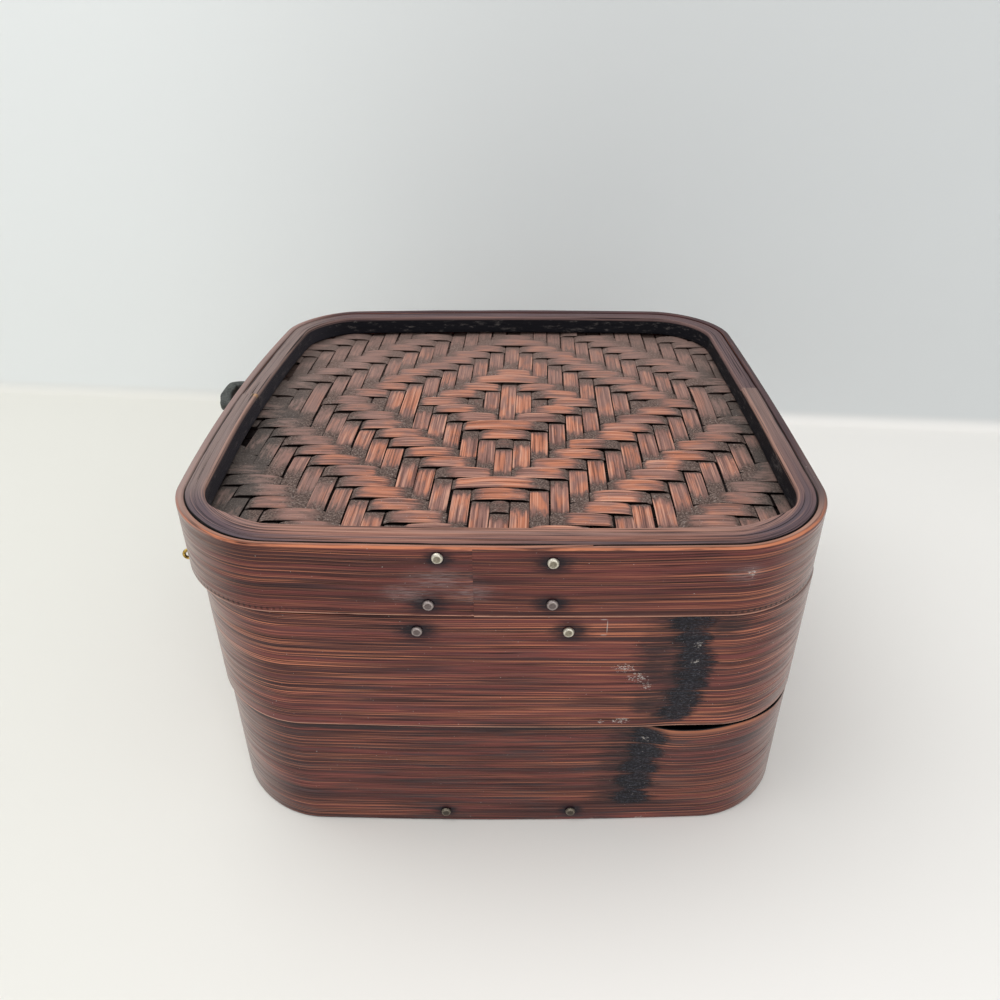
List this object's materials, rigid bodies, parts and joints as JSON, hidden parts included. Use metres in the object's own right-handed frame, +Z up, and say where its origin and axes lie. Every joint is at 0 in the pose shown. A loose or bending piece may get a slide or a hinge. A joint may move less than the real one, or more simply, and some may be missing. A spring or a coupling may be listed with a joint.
{
  "type": "tiered bamboo food basket",
  "caption": "Stackable bentwood food basket of rounded square tiers with a fitted lid; the lid has a woven bamboo panel set below its rim",
  "frame": {"origin": "centre of the bounding box on the table, under the lower tier", "axes": "+Z is up, along the lift of the tiers and lid; -Y is the front with the tacks; +X is the right side seen from the front"},
  "size_m": [0.2157, 0.2086, 0.1193],
  "materials": {
    "bamboo_band": "stained and worn, semi-matt",
    "bamboo_hoop": "stained, dusty matt",
    "woven_bamboo": "stained strips, worn on their crowns",
    "tack_steel": "dull, tarnished",
    "brass": "aged",
    "leather": "dark, dry"
  },
  "bodies": {
    "lower_tier": {"lower_band": "bamboo_band", "lower_base_hoop": "bamboo_hoop", "lower_floor": "woven_bamboo", "lower_collar": "bamboo_hoop", "lower_tack_left": "tack_steel", "lower_tack_right": "tack_steel"},
    "upper_tier": {"upper_band": "bamboo_band", "upper_floor_hoop": "bamboo_hoop", "upper_floor": "woven_bamboo", "upper_collar": "bamboo_hoop", "upper_tack_left": "tack_steel", "upper_tack_right": "tack_steel"},
    "lid": {"lid_band": "bamboo_band", "lid_rim_front": "bamboo_hoop", "lid_rim_back": "bamboo_hoop", "lid_woven_panel": "woven_bamboo", "lid_lower_hoop": "bamboo_hoop", "lid_top_tack_left": "tack_steel", "lid_top_tack_right": "tack_steel", "lid_low_tack_left": "tack_steel", "lid_low_tack_right": "tack_steel", "lid_strap_loop": "leather", "lid_brass_eye": "brass"}
  },
  "joints": [
    {"name": "upper_tier_lift", "type": "slide", "parent": "lower_tier", "child": "upper_tier", "axis": [0, 0, 1], "range_m": [0, 0.08]},
    {"name": "lid_lift", "type": "slide", "parent": "upper_tier", "child": "lid", "axis": [0, 0, 1], "range_m": [0, 0.08]}
  ]
}
